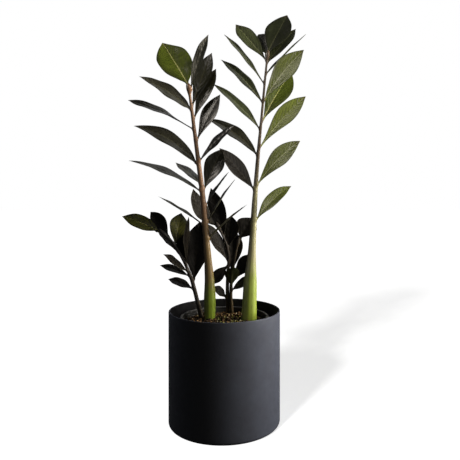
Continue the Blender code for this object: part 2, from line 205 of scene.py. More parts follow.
def leaf_material(name, blade, lit, rib, margin, tip, roughness, sheen, margin_from=0.72, veining=0.6):
    """Fleshy leaf under a wax cuticle: a smooth gloss over sunk side veins, a rib and a margin of their own.

    A side vein is where forward = along - VEIN_FORWARD * out - VEIN_CURVE * out * out keeps one value.
    Each blade lies somewhere between the colours blade and lit, by its attribute shade and by clouds of
    22 mm. The side veins take a share of the margin's colour, which veining sets.
    """
    made, tree, shader = surface(name, roughness, specular=sheen)
    place = node(tree, "TexCoord").outputs["Object"]
    along = node(tree, "Attribute", attribute_name="along").outputs["Fac"]
    across = node(tree, "Attribute", attribute_name="across").outputs["Fac"]
    share = node(tree, "Attribute", attribute_name="share").outputs["Fac"]
    side = node(tree, "Attribute", attribute_name="side").outputs["Fac"]
    shade = node(tree, "Attribute", attribute_name="shade").outputs["Fac"]

    out = node(tree, "Math", {0: across}, operation="ABSOLUTE").outputs[0]
    slant = node(tree, "Math", {0: out, 1: VEIN_CURVE, 2: VEIN_FORWARD}, operation="MULTIPLY_ADD").outputs[0]
    back = node(tree, "Math", {0: out, 1: slant}, operation="MULTIPLY").outputs[0]
    forward = node(tree, "Math", {0: along, 1: back}, operation="SUBTRACT").outputs[0]
    to_vein = node(tree, "Math", {0: forward, 1: VEIN_SPACING / 2}, operation="PINGPONG").outputs[0]
    vein = node(tree, "MapRange", {"Value": to_vein, "From Min": VEIN_CORE, "From Max": VEIN_EDGE,
                                   "To Min": 1.0, "To Max": 0.0},
                interpolation_type="SMOOTHSTEP").outputs[0]
    fibre_place = node(tree, "CombineXYZ", {0: forward, 1: across}).outputs[0]
    fibre_place = node(tree, "Mapping", {"Vector": fibre_place, "Scale": FIBRES}).outputs[0]
    fibre = node(tree, "TexNoise", {"Vector": fibre_place, "Scale": 1.0, "Detail": 3.0}).outputs["Fac"]

    cloud = node(tree, "TexNoise", {"Vector": place, "Scale": 1 / (22 * MM), "Detail": 4.0}).outputs["Fac"]
    shift = node(tree, "Math", {0: cloud, 1: shade}, operation="ADD").outputs[0]
    tone = node(tree, "MapRange", {"Value": shift, "From Min": 0.55, "From Max": 1.45}).outputs[0]
    colour = node(tree, "Mix", {0: tone, 6: srgb(blade), 7: srgb(lit)}, data_type="RGBA").outputs[2]
    fine = node(tree, "MapRange", {"Value": fibre, "From Min": 0.5, "From Max": 0.75, "To Max": 0.22})
    colour = node(tree, "Mix", {0: fine.outputs[0], 6: colour, 7: srgb(lit)}, data_type="RGBA").outputs[2]
    veined = node(tree, "Math", {0: vein, 1: veining}, operation="MULTIPLY").outputs[0]
    colour = node(tree, "Mix", {0: veined, 6: colour, 7: srgb(margin)}, data_type="RGBA").outputs[2]

    # the margin's colour rims the blade; the old_black tone's pale margin is a painted highlight of light on
    # the edges, and faintly on its veins
    edge = node(tree, "Math", {0: side}, operation="ABSOLUTE").outputs[0]
    edge = node(tree, "MapRange", {"Value": edge, "From Min": margin_from, "From Max": 1.0, "To Max": 0.75},
                interpolation_type="SMOOTHSTEP").outputs[0]
    colour = node(tree, "Mix", {0: edge, 6: colour, 7: srgb(margin)}, data_type="RGBA").outputs[2]
    end = node(tree, "MapRange", {"Value": share, "From Min": TIP_FROM, "From Max": 1.0, "To Max": 0.85},
               interpolation_type="SMOOTHSTEP").outputs[0]
    colour = node(tree, "Mix", {0: end, 6: colour, 7: srgb(tip)}, data_type="RGBA").outputs[2]
    rib_width = node(tree, "MapRange", {"Value": share, "To Min": RIB_AT_STALK, "To Max": RIB_AT_TIP})
    near_rib = node(tree, "Math", {0: out, 1: rib_width.outputs[0]}, operation="DIVIDE").outputs[0]
    ribbed = node(tree, "MapRange", {"Value": near_rib, "From Min": 0.45, "From Max": 1.0, "To Min": 0.9,
                                     "To Max": 0.0}, interpolation_type="SMOOTHSTEP").outputs[0]
    colour = node(tree, "Mix", {0: ribbed, 6: colour, 7: srgb(rib)}, data_type="RGBA").outputs[2]

    relief = node(tree, "Math", {0: vein, 1: -0.7, 2: fibre}, operation="MULTIPLY_ADD").outputs[0]
    bump = node(tree, "Bump", {"Height": relief, "Strength": 0.3, "Distance": 0.12 * MM})
    waxy = node(tree, "MapRange", {"Value": cloud, "From Min": 0.3, "From Max": 0.7,
                                   "To Min": roughness - 0.05, "To Max": roughness + 0.08})
    tree.links.new(colour, shader.inputs["Base Color"])
    tree.links.new(waxy.outputs[0], shader.inputs["Roughness"])
    tree.links.new(bump.outputs[0], shader.inputs["Normal"])
    return made


FOOT_FADE = 45                       # mm over which the foot's colour turns to the middle's
TOP_FADE = 70                        # and the middle's to the top's
STEM_FLECKS = (900, 900, 130)        # cells per metre: 1.1 mm wide and 8 mm tall
STEM_RIDGES = (1500, 1500, 60)       # cells per metre: 0.7 mm wide and 17 mm tall


def stem_material(name, foot, middle, top, fleck, green_to, brown_from):
    """Fleshy stem under a thin wax bloom: its colour runs from the swollen foot to the top, with
    drawn-out dark flecks and a darker scar at each leaflet.

    The changes of colour begin green_to and brown_from mm above the soil, and are ragged by 30 mm.
    """
    made, tree, shader = surface(name, 0.42)
    shader.inputs["Coat Weight"].default_value = 0.12
    shader.inputs["Coat Roughness"].default_value = 0.3
    place = node(tree, "TexCoord").outputs["Object"]
    height = node(tree, "Attribute", attribute_name="height").outputs["Fac"]
    scar = node(tree, "Attribute", attribute_name="scar").outputs["Fac"]
    cloud = node(tree, "TexNoise", {"Vector": place, "Scale": 1 / (16 * MM), "Detail": 4.0}).outputs["Fac"]
    ragged = node(tree, "Math", {0: cloud, 1: 30.0, 2: height}, operation="MULTIPLY_ADD").outputs[0]
    up = node(tree, "MapRange", {"Value": ragged, "From Min": green_to, "From Max": green_to + FOOT_FADE},
              interpolation_type="SMOOTHSTEP").outputs[0]
    colour = node(tree, "Mix", {0: up, 6: srgb(foot), 7: srgb(middle)}, data_type="RGBA").outputs[2]
    up = node(tree, "MapRange", {"Value": ragged, "From Min": brown_from, "From Max": brown_from + TOP_FADE},
              interpolation_type="SMOOTHSTEP").outputs[0]
    colour = node(tree, "Mix", {0: up, 6: colour, 7: srgb(top)}, data_type="RGBA").outputs[2]
    drawn = node(tree, "Mapping", {"Vector": place, "Scale": STEM_FLECKS}).outputs[0]
    flecks = node(tree, "TexNoise", {"Vector": drawn, "Scale": 1.0, "Detail": 2.0}).outputs["Fac"]
    spots = node(tree, "MapRange", {"Value": flecks, "From Min": 0.55, "From Max": 0.72, "To Max": 0.45})
    colour = node(tree, "Mix", {0: spots.outputs[0], 6: colour, 7: srgb(fleck)}, data_type="RGBA").outputs[2]
    marked = node(tree, "Math", {0: scar, 1: 0.55}, operation="MULTIPLY").outputs[0]
    colour = node(tree, "Mix", {0: marked, 6: colour, 7: srgb(fleck)}, data_type="RGBA").outputs[2]
    ridges = node(tree, "Mapping", {"Vector": place, "Scale": STEM_RIDGES}).outputs[0]
    ridges = node(tree, "TexNoise", {"Vector": ridges, "Scale": 1.0, "Detail": 2.0}).outputs["Fac"]
    bump = node(tree, "Bump", {"Height": ridges, "Strength": 0.4, "Distance": 0.2 * MM})
    tree.links.new(colour, shader.inputs["Base Color"])
    tree.links.new(bump.outputs[0], shader.inputs["Normal"])
    return made


# Each tone: the material's name, then blade, lit, rib, margin and tip colours, roughness and sheen.
LEAF_TONES = {
    "near_black": leaf_material("mature_leaf_near_black", "#0c0c08", "#1a1911", "#2c2b1f", "#090a06",
                                "#14100b", 0.34, 0.5),
    # old_black: its pale margin colour, #3b382e, is a painted highlight of light catching the leaflets' edges
    "old_black": leaf_material("old_leaf_dull_black_with_painted_edge_highlight", "#070605", "#0d0b08", "#16130d", "#3b382e",
                               "#14100b", 0.42, 0.22, margin_from=0.9, veining=0.12),
    "deep_green": leaf_material("turning_leaf_deep_green", "#14170a", "#232714", "#3f402c", "#12130a",
                                "#1b150d", 0.38, 0.5),
    "dark_olive": leaf_material("turning_leaf_dark_olive", "#262709", "#383814", "#5a5738", "#161608",
                                "#241d0d", 0.4, 0.3),
    "olive": leaf_material("young_leaf_olive", "#56611f", "#717b34", "#9ca26a", "#3d4519", "#3e351c",
                           0.42, 0.4),
    "fresh": leaf_material("new_leaf_fresh_green", "#262f07", "#3e4510", "#858353", "#1f2406", "#3d3d1a",
                           0.36, 0.45),
}
LEAF_SLOTS = {"near_black": "leaf_dark", "old_black": "leaf_dark", "deep_green": "leaf_dark",
              "dark_olive": "leaf_dark", "olive": "leaf_green", "fresh": "leaf_green"}
LEAFLETS_BY_TONE = {
    # painted shade: right_tall_07 takes the darker fresh tone for the shade it lies in behind right_tall_09
    "fresh": ("left_tall_16", "right_tall_07"),
    "old_black": ("right_tall_02",),
    "olive": ("right_tall_01", "right_tall_03", "right_tall_05", "right_tall_09"),
    "dark_olive": ("left_short_08", "left_short_10", "left_tall_15"),
    "deep_green": ("right_tall_06", "right_tall_08", "right_tall_10", "right_tall_11", "right_tall_12",
                   "right_tall_13", "right_tall_14", "right_tall_15", "back_short_01", "back_short_02"),
}


def tone_of(leaflet):
    """The tone a leaflet is given: one from the table, or else dull on short fronds, glossy on tall."""
    for tone, leaflets in LEAFLETS_BY_TONE.items():
        if leaflet in leaflets:
            return tone
    return "old_black" if "_short_" in leaflet else "near_black"


# Each stem: its slot, then the material's name, foot, middle, top and fleck colours, and two heights in mm.
STEM_LOOKS = {
    "left_tall": ("stem_brown", "copper_brown_stem", "#4a5716", "#45381f", "#553f2c", "#1f120a", 40, 110),
    "right_tall": ("stem_green", "green_footed_stem", "#56611f", "#5c593d", "#33281c", "#2a220f", 60, 170),
    "left_short": ("stem_brown", "dark_short_stem_left", "#1d1810", "#2a231b", "#241e18", "#0e0b07", 10, 60),
    "centre_short": ("stem_brown", "dark_short_stem_centre", "#2b2316", "#211a12", "#1c1711", "#0e0a06",
                     10, 60),
    "back_short": ("stem_brown", "dark_short_stem_back", "#2c2416", "#231c10", "#1f1910", "#0e0a06", 10, 60),
}


# ---------------------------------------------------------------- making meshes

def tube_faces(rings, around):
    """Quads between neighbouring closed rings, and fans to a pole before the first and past the last.

    Points are numbered ring by ring, then the first pole and the last pole.
    """
    i = np.arange(around)
    j = (i + 1) % around
    base = (np.arange(rings - 1) * around)[:, None]
    quads = np.stack((base + i, base + j, base + j + around, base + i + around), axis=-1).reshape(-1, 4)
    first, last = rings * around, rings * around + 1
    top = (rings - 1) * around
    fans = np.vstack((np.column_stack((np.full(around, first), j, i)),
                      np.column_stack((np.full(around, last), top + i, top + j))))
    return quads.tolist() + fans.tolist()


def build(name, points, faces, look, slot, stands_for, smooth=40, **values):
    """Make one closed piece that rides the body and stands for its CAD nodes.

    values are numbers kept at each point, for the materials to read as attributes.
    """
    mesh = bpy.data.meshes.new(name)
    mesh.from_pydata(points.tolist(), [], faces)
    for key, numbers in values.items():
        attribute = mesh.attributes.new(key, "FLOAT", "POINT")
        attribute.data.foreach_set("value", np.asarray(numbers, np.float32))
    bm = bmesh.new()
    bm.from_mesh(mesh)
    if bm.calc_volume(signed=True) < 0:
        mesh.flip_normals()
    bm.free()
    mesh.materials.append(look)
    mesh.shade_smooth()
    mesh.set_sharp_from_angle(angle=math.radians(smooth))
    piece = bpy.data.objects.new(name, mesh)
    bpy.context.scene.collection.objects.link(piece)
    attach(piece, BODY)
    if stands_for:
        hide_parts(*stands_for)
    return piece


def spline(knots, values, at):
    """Smooth curve through values at knots: cubic pieces with slopes from the neighbours."""
    slopes = np.gradient(values, knots, axis=0)
    i = np.clip(np.searchsorted(knots, at) - 1, 0, len(knots) - 2)
    span = knots[i + 1] - knots[i]
    t = (at - knots[i]) / span
    if values.ndim > 1:
        t, span = t[:, None], span[:, None]
    return ((1 + 2 * t) * (1 - t) ** 2 * values[i] + t * (1 - t) ** 2 * span * slopes[i]
            + t * t * (3 - 2 * t) * values[i + 1] - t * t * (1 - t) * span * slopes[i + 1])


def unit(vectors):
    """Vectors scaled to length one."""
    return vectors / np.linalg.norm(vectors, axis=-1, keepdims=True)


def arc(centre, radius, start, end, steps):
    """Points on an arc in the profile plane, angles in degrees from the outward direction."""
    angles = np.radians(np.linspace(start, end, steps + 1))
    return np.column_stack((centre[0] + radius * np.cos(angles), centre[1] + radius * np.sin(angles)))


def turned(profile, around):
    """Points of a profile of (radius, height) carried once round Z, from pole to pole."""
    profile = np.asarray(profile)
    turn = np.linspace(0, 2 * math.pi, around, endpoint=False)
    radius, height = profile[1:-1, 0][:, None], profile[1:-1, 1][:, None]
    rings = np.stack((radius * np.cos(turn), radius * np.sin(turn), height + 0 * turn), axis=-1)
    poles = np.array([(0, 0, profile[0, 1]), (0, 0, profile[-1, 1])])
    return np.vstack((rings.reshape(-1, 3), poles)), tube_faces(len(profile) - 2, around)


LUMP_CELLS = 64                      # the grid of random heights repeats after this many cells
LUMP_SHIFT = 500                     # cells that keep every place on the grid above zero


def lumps(x, y, size, seed):
    """Smooth random heights from -1 to 1: values on a square grid of the given size, eased between.

    Inside a cell the share t of the way across is eased to t * t * (3 - 2 * t).
    """
    grid = np.random.default_rng(seed).uniform(-1, 1, (LUMP_CELLS, LUMP_CELLS))
    u, v = np.asarray(x) / size + LUMP_SHIFT, np.asarray(y) / size + LUMP_SHIFT
    i, j = np.floor(u).astype(int), np.floor(v).astype(int)
    fu, fv = u - i, v - j
    fu, fv = fu * fu * (3 - 2 * fu), fv * fv * (3 - 2 * fv)
    i, j, next_i, next_j = (k % LUMP_CELLS for k in (i, j, i + 1, j + 1))
    near = grid[i, j] * (1 - fu) + grid[next_i, j] * fu
    far = grid[i, next_j] * (1 - fu) + grid[next_i, next_j] * fu
    return near * (1 - fv) + far * fv


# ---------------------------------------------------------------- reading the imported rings

def lofted_rings(name, sides):
    """Poles and rings of a CAD node that was lofted in rings from one point to another.

    Walking out from a pole, each step over the mesh reaches the next ring; a ring is put in order along
    its own edges, not along those that only cross a flat end. The last step may be one point, or nothing
    where the loft ends flat.
    """
    bm = bmesh.new()
    bm.from_mesh(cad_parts[name].data)
    bmesh.ops.remove_doubles(bm, verts=bm.verts, dist=0.001 * MM)
    for pole in bm.verts:
        layers, seen = [[pole]], {pole}
        while layers[-1] and len(layers[-1]) in (1, sides):
            near = {edge.other_vert(vert) for vert in layers[-1] for edge in vert.link_edges} - seen
            layers.append(sorted(near, key=lambda vert: vert.index))
            seen |= near
        if not layers[-1] and len(pole.link_edges) == sides and all(
                len(layer) == sides for layer in layers[1:-2]):
            break
    layers.pop()
    ends = [pole.co[:], layers.pop()[0].co[:] if len(layers[-1]) == 1 else None]
    rings = []
    for layer in layers[1:]:
        walk = [layer[0]]
        while len(walk) < sides:
            beside = [edge.other_vert(walk[-1]) for edge in walk[-1].link_edges
                      if any(vert not in layer for face in edge.link_faces for vert in face.verts)]
            walk.append(next(vert for vert in beside if vert in layer and vert not in walk))
        rings.append([vert.co[:] for vert in walk])
    bm.free()
    return ends, np.array(rings)


def follow_on(rings):
    """Turn each ring's points so that each lies over the same one of the ring before."""
    out = [rings[0]]
    for ring in rings[1:]:
        last = out[-1] - out[-1].mean(axis=0)
        ways = [np.roll(way, k, axis=0) for way in (ring, ring[::-1]) for k in range(len(ring))]
        out.append(min(ways, key=lambda way: np.square(unit(way - way.mean(axis=0)) - unit(last)).sum()))
    return np.array(out)


# ---------------------------------------------------------------- stems

class Stem:
    """A stem's centreline and girth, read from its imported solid, from the foot to the tip."""

    def __init__(self, key):
        (tip, _), rings = lofted_rings("stem_" + key, STEM_SIDES_OF[key])
        rings = rings[::-1]
        self.centres = np.vstack((rings.mean(axis=1), tip))
        radii = np.linalg.norm(rings - rings.mean(axis=1)[:, None], axis=2).mean(axis=1)
        self.radii = np.append(radii, radii[-1] / 2)
        self.knots = np.append(0, np.cumsum(np.linalg.norm(np.diff(self.centres, axis=0), axis=1)))
        self.fine = np.linspace(0, self.knots[-1], int(self.knots[-1] / STEM_STEP))
        self.line = spline(self.knots, self.centres, self.fine)
        self.girth = spline(self.knots, self.radii, self.fine)
        self.leaves = []                 # (place along the line, direction out) of each leaflet

    def nearest(self, point):
        """Index on the fine line nearest to a point."""
        return int(np.argmin(np.linalg.norm(self.line - point, axis=1)))

    def foot_at(self, height):
        """Point of the line nearest to the place straight above its foot at a height."""
        x, y = self.line[0][:2]
        return self.line[self.nearest((x, y, height))]


SKIN_WAVER = 0.035                   # share of the girth by which the skin wanders
SKIN_LUMP = 9 * MM                   # size of those lumps, drawn out along the stem by SKIN_STRETCH
SKIN_STRETCH = 0.6
SKIN_TURN = 12 * MM                  # width of the strip of lumps that goes once to and fro round the stem
RIDGE_DEPTH = 0.02                   # share of the girth, at the foot
RIDGES_AROUND = 9
PAD_HEIGHT = 1.2 * MM                # the swelling that carries a leaflet, above the stem's skin
PAD_LENGTH = 2.6 * MM
PAD_SPREAD = 0.45                    # how far round the stem it reaches, as 1 less the cosine of the angle
SCAR_AWAY = 1.4 * PAD_LENGTH         # from the middle of a pad to the scar on either side of it
SCAR_WIDTH = 1.0 * MM
END_ROUND = 1.6 * MM                 # length of the rounded top


def make_stem(key, stem, soil_edge):
    """Round stem: a circle carried along the centreline, with radius = girth * (1 + lumps + ridges).

    The ridges are a cosine of the turn and fade upwards. Each leaflet adds a pad that falls off as a
    bell curve along the stem and round it. The last stretch closes as a quarter circle.
    """
    tangents = unit(np.gradient(stem.line, axis=0))
    across = unit(np.cross(tangents, (0.0, 1.0, 0.0)))
    depth = np.cross(tangents, across)
    turn = np.linspace(0, 2 * math.pi, STEM_AROUND, endpoint=False)
    out = np.cos(turn)[:, None] * across[:, None] + np.sin(turn)[:, None] * depth[:, None]
    girth = stem.girth[:, None]
    waver = lumps(stem.fine[:, None] * SKIN_STRETCH, np.sin(turn)[None] * SKIN_TURN, SKIN_LUMP, seed=len(key))
    fade = np.linspace(1, 0.3, len(girth))[:, None]
    radius = girth * (1 + SKIN_WAVER * waver)
    radius = radius + RIDGE_DEPTH * girth * np.cos(turn * RIDGES_AROUND)[None] * fade
    scar = np.zeros_like(radius)
    for place, towards in stem.leaves:
        beyond = np.abs(stem.fine - place)[:, None]
        facing = np.clip(out @ towards, -1, 1)
        pad = PAD_HEIGHT * np.exp(-(beyond / PAD_LENGTH) ** 2)
        radius += pad * np.exp(-((1 - facing) / PAD_SPREAD) ** 2)
        ring = np.exp(-((beyond - SCAR_AWAY) / SCAR_WIDTH) ** 2)
        scar = np.maximum(scar, ring * np.clip(0.55 + 0.6 * facing, 0, 1))
    end = np.clip((stem.knots[-1] - stem.fine) / END_ROUND, 0, 1)[:, None]
    radius *= np.sqrt(np.clip(1 - (1 - end) ** 2, 0.02, 1))
    points = stem.line[:, None] + radius[..., None] * out
    points = np.vstack((points.reshape(-1, 3), stem.line[[0, -1]]))
    slot, *look = STEM_LOOKS[key]
    build("stem_" + key, points, tube_faces(len(stem.fine), STEM_AROUND), stem_material(*look), slot,
          ["stem_" + key], height=(points[:, 2] - soil_edge) / MM, scar=np.append(scar.ravel(), (0, 0)))


# ---------------------------------------------------------------- leaflets

RING_RIB_DEPTH, RING_DEPTH = 0.30, 1.05  # a packed ring's midrib under its top, and its whole depth

STALK_SINK = 0.8 * MM                # how far a stalk runs into its stem
STALK_GIRTH = 0.85                   # its radius, as a share of the first ring's
STALK_SWELL = 0.75 * MM              # how much thicker the blade is at its stalk
STALK_SWELL_FADE = 0.05              # lengths that end in FADE or START are shares of the leaflet's
BLADE_THICKNESS = 0.75 * MM
THINNING = 0.35                      # share of the thickness lost by the tip
EDGE_POWER = 0.7                     # thickness round the section: below 1 the edges are blunter
LEAST_HALF = 0.05 * MM               # half the width at the drawn-out tip
FOLD_POWER = 1.45                    # the blade's halves rise as this power of the distance out
MARGIN_WAVE = 0.06                   # how far the margin waves, as a share of half the width
WAVES = (1.5, 2.6)                   # least and most waves along a margin
WAVE_STAGGER = 1.7                   # how far the two margins are out of step, in radians
MARGIN_DROP = 0.05                   # how far the margin rolls down, as a share of half the width
GROOVE_DEPTH, GROOVE_WIDTH, GROOVE_START = 0.35 * MM, 0.9 * MM, 0.06
KEEL = 0.7 * MM                      # the rib's extra depth under the blade, near the stalk
KEEL_FADE, KEEL_START = 0.45, 0.04
PILLOW = 0.42 * MM                   # how far the blade swells between its side veins
RIPPLE = 0.38 * MM                   # and how far it wavers in streaks along them
RIPPLE_SIZE, RIPPLE_STRETCH = 3.2 * MM, 0.22
RELIEF_START, RELIEF_RISE = 0.12, 0.15  # shares of the length where the relief begins, and takes to rise
RIB_CLEAR = 2 * MM                   # the swelling starts from the rib over this distance


class Blade:
    """A leaflet's midrib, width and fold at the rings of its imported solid, from stalk to tip."""

    def __init__(self, name):
        (start, end), rings = lofted_rings("leaflet_" + name, LEAF_SIDES)
        rings = follow_on(rings)
        opposite, quarter = LEAF_SIDES // 2, LEAF_SIDES // 4
        pairs = np.linalg.norm(rings - np.roll(rings, opposite, axis=1), axis=2)[:, :opposite]
        left = int(np.argmax(pairs[np.argmax(pairs.max(axis=1))]))
        left_edge, right_edge = rings[:, left], rings[:, left + opposite]
        top, under = rings[:, (left + quarter) % LEAF_SIDES], rings[:, left - quarter]
        chord = (left_edge + right_edge) / 2
        middle = len(rings) // 2
        if np.linalg.norm(top[middle] - chord[middle]) > np.linalg.norm(under[middle] - chord[middle]):
            top, under = under, top
        thick = np.linalg.norm(top - under, axis=1)
        if thick[0] < thick[-1]:
            start, end = end, start
            left_edge, right_edge, top, under = (x[::-1] for x in (left_edge, right_edge, top, under))
        midrib = top + (under - top) * RING_RIB_DEPTH / RING_DEPTH
        self.start = np.array(start)
        self.across = unit(right_edge - left_edge)
        self.half = np.linalg.norm(right_edge - left_edge, axis=1) / 2
        self.lift = np.linalg.norm((left_edge + right_edge) / 2 - midrib, axis=1)
        self.up = unit(top - under)
        self.midrib = np.vstack((start, midrib, end))


def leaflet_relief(draw, number, at, share, half, lift, side, upper):
    """How far each point of a leaflet's sections stands above its midrib.

    rise = lift * out ** FOLD_POWER + wave + thickness * sign(upper) * |upper| ** EDGE_POWER, where out
    goes from 0 at the rib to 1 at the margin, and wave is a sine along the margin times out squared. A
    groove over the rib and a keel under it are bell curves, and the margin rolls down as out ** 6. Between
    the side veins the blade swells as a sine squared, and streaks of lumps follow the veins. Both fade in
    past the stalk and out towards the margin.
    """
    out = np.abs(side)[None]
    width = half[:, None]
    far = width * out
    phase, waves = draw.uniform(0, 2 * math.pi), draw.uniform(*WAVES)
    turns = 2 * math.pi * waves * share[:, None] + phase + WAVE_STAGGER * np.sign(side)[None]
    thick = BLADE_THICKNESS / 2 * (1 - THINNING * share) + STALK_SWELL * np.exp(-share / STALK_SWELL_FADE)
    body = np.sign(upper) * np.abs(upper) ** EDGE_POWER
    rise = lift[:, None] * out ** FOLD_POWER + MARGIN_WAVE * width * out ** 2 * np.sin(turns)
    rise += body[None] * thick[:, None]

    keel = KEEL * np.exp(-share / KEEL_FADE) * (1 - np.exp(-share / KEEL_START))
    rib = np.exp(-(far / GROOVE_WIDTH) ** 2)
    grown = (1 - np.exp(-share / GROOVE_START))[:, None]
    rise -= np.where(upper > 0, GROOVE_DEPTH, keel[:, None]) * rib * grown
    rise -= MARGIN_DROP * width * out ** 6

    away = width * side
    out_mm = np.abs(away) / MM
    forward = at[:, None] / MM - out_mm * (VEIN_FORWARD + VEIN_CURVE * out_mm)
    fold = np.sin(math.pi * forward / VEIN_SPACING) ** 2
    fade = np.clip((share - RELIEF_START) / RELIEF_RISE, 0, 1)[:, None] * (1 - out ** 4)
    streaks = lumps(forward * RIPPLE_STRETCH * MM, away, RIPPLE_SIZE, number)
    rise += PILLOW * (fold - 0.5) * fade * np.clip(far / RIB_CLEAR, 0, 1)
    rise += RIPPLE * fade * streaks
    return rise


def make_leaflet(name, number, blade, stem):
    """Leaflet: a section carried along the midrib from inside the stem to the drawn-out tip.

    Round the section by the angle a, a point lies -cos(a) halves of the width out and leaflet_relief high.
    """
    root = stem.nearest(blade.start)
    towards = stem.line[root] - blade.start
    inner = blade.start + towards * (1 - (stem.girth[root] - STALK_SINK) / np.linalg.norm(towards))
    stem.leaves.append((stem.fine[root], unit(-towards)))
    line = np.vstack((inner, blade.midrib))
    knots = np.append(0, np.cumsum(np.linalg.norm(np.diff(line, axis=0), axis=1)))
    length = knots[-1]
    at = length * np.linspace(0, 1, BLADE_STEPS + 2)[1:-1]
    share = at / length
    stalk = blade.half[0] * STALK_GIRTH
    half = np.maximum(spline(knots, np.hstack((stalk, stalk, blade.half, 0)), at), LEAST_HALF)
    lift = spline(knots, np.hstack((0, 0, blade.lift, 0)), at)
    centre = spline(knots, line, at)
    tangent = unit(np.gradient(centre, axis=0))
    first, last = blade.across[:1], blade.across[-1:]
    across = spline(knots, np.vstack((first, first, blade.across, last)), at)
    across = unit(across - (across * tangent).sum(axis=1)[:, None] * tangent)
    up = np.cross(across, tangent)
    up *= np.sign((up[len(up) // 2] * blade.up[len(blade.up) // 2]).sum())

    around = np.linspace(0, 2 * math.pi, BLADE_AROUND, endpoint=False)
    side = -np.cos(around)
    draw = np.random.default_rng(1000 + number)
    rise = leaflet_relief(draw, number, at, share, half, lift, side, np.sin(around))
    away = half[:, None] * side
    points = centre[:, None] + away[..., None] * across[:, None] + rise[..., None] * up[:, None]
    points = np.vstack((points.reshape(-1, 3), inner, blade.midrib[-1]))
    tone = tone_of(name)
    build("leaflet_" + name, points, tube_faces(len(at), BLADE_AROUND), LEAF_TONES[tone], LEAF_SLOTS[tone],
          ["leaflet_" + name], smooth=60,
          along=np.append(np.repeat(at / MM, BLADE_AROUND), (0, length / MM)),
          across=np.append(away.ravel() / MM, (0, 0)),
          share=np.append(np.repeat(share, BLADE_AROUND), (0, 1)),
          side=np.append(np.tile(side, len(at)), (0, 0)),
          shade=np.full(len(points), draw.uniform(0, 1)))


# ---------------------------------------------------------------- pots and soil

SIDE_STEPS = 12                      # rings up the planter's straight side
INNER_SHARE = 0.2                    # share of the planter's wall over which the painted shade of the inside grows
POT_FOOT_ROUND = 2.0 * MM
ROLL_SHARE = 0.3                     # radius of the lip's rolled edge, as a share of the lip's depth
LIP_FLAT = 0.5 * MM                  # flat top of the lip inside the wall
POT_RIBS = (0.5 * MM, 9.5 * MM)      # how far under the lip's top the ribs begin and end
POT_RIB_DEPTH, POT_RIB_PITCH = 0.35 * MM, 3.0 * MM
POT_RIB_STEPS = 55


def make_planter():
    """Cylinder turned from one wall line: rounded foot, straight side, half-round rim, plain inside."""
    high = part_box("planter")[1]
    radius, top = high.x, high.z
    foot, lip = PLANTER_FOOT_ROUND, PLANTER_WALL / 2
    inside, inner = radius - PLANTER_WALL, PLANTER_FOOT_ROUND - PLANTER_WALL
    heights = np.linspace(foot, top - lip, SIDE_STEPS + 2)[1:-1]
    side = np.column_stack((np.full(SIDE_STEPS, radius), heights))
    profile = np.vstack(([(0, 0)], arc((radius - foot, foot), foot, -90, 0, steps=10), side,
                         arc((radius - lip, top - lip), lip, 0, 180, steps=10),
                         arc((inside - inner, PLANTER_FLOOR + inner), inner, 0, -90, steps=6),
                         [(0, PLANTER_FLOOR)]))
    points, faces = turned(profile, TURNED_SIDES)
    reach = np.hypot(points[:, 0], points[:, 1])
    # painted shade: 1 on the planter's inner surfaces above the foot, which the material darkens to near
    # black
    painted_inner_shade = radius - PLANTER_WALL * (1 - INNER_SHARE) - reach
    painted_inner_shade = np.clip(painted_inner_shade / (INNER_SHARE * PLANTER_WALL), 0, 1) * (points[:, 2] > foot)
    build("planter", points, faces, charcoal_plastic(), "planter_charcoal", ["planter"], inside=painted_inner_shade)


def make_nursery_pot():
    """Tapered pot turned from one wall line, with a rolled lip and three shallow ribs inside its mouth.

    A rib stands in as 1 less a cosine. The floor is whole. The attribute inside, a painted shade on the
    inner surfaces, grows from 0 to 1 between 0.5 and 0.9 of the way in through the wall.
    """
    low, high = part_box("nursery_pot")
    radius, top, base = high.x, high.z, low.z
    mouth = radius - LIP_WIDTH + POT_WALL
    foot = mouth - POT_TAPER
    skirt, roll, floor_top = top - LIP_DEPTH, LIP_DEPTH * ROLL_SHARE, base + POT_FLOOR
    corner = POT_FOOT_ROUND

    def wall(height):
        return foot + POT_TAPER * (height - base) / (top - base)

    ribs = np.linspace(top - POT_RIBS[0], top - POT_RIBS[1], POT_RIB_STEPS)
    rib_depth = POT_RIB_DEPTH * (1 - np.cos(2 * math.pi * (ribs - ribs[-1]) / POT_RIB_PITCH)) / 2
    inner = np.column_stack((wall(ribs) - POT_WALL - rib_depth, ribs))
    profile = np.vstack(([(0, base)], arc((foot - corner, base + corner), corner, -90, 0, steps=5),
                         [(wall(skirt), skirt + POT_WALL), (radius - POT_WALL, skirt + POT_WALL),
                          (radius - POT_WALL, skirt), (radius, skirt)],
                         arc((radius - roll, top - roll), roll, 0, 90, steps=8),
                         [(mouth - POT_WALL + LIP_FLAT, top)], inner,
                         [(wall(floor_top) - POT_WALL, floor_top), (0, floor_top)]))
    points, faces = turned(profile, TURNED_SIDES)
    reach = np.hypot(points[:, 0], points[:, 1])
    # painted shade: 1 on the pot's inner surfaces, which the material darkens to #121211
    inside = np.clip((wall(points[:, 2]) - 0.5 * POT_WALL - reach) / (0.4 * POT_WALL), 0, 1)
    build("nursery_pot", points, faces, nursery_plastic(), "grow_pot_plastic", ["nursery_pot"], inside=inside)


SOIL_CLEARANCE = 0.2 * MM            # between the soil and the pot's wall
SOIL_TAPER_SHARE = 0.93              # how much of the pot's taper the soil's height takes in
SOIL_LUMPS = ((0.9 * MM, 11 * MM, 3), (0.7 * MM, 4.5 * MM, 4), (0.45 * MM, 1.7 * MM, 5))  # height, size, seed
COLLAR_HEIGHT, COLLAR_REACH = 1.3 * MM, 2.2 * MM


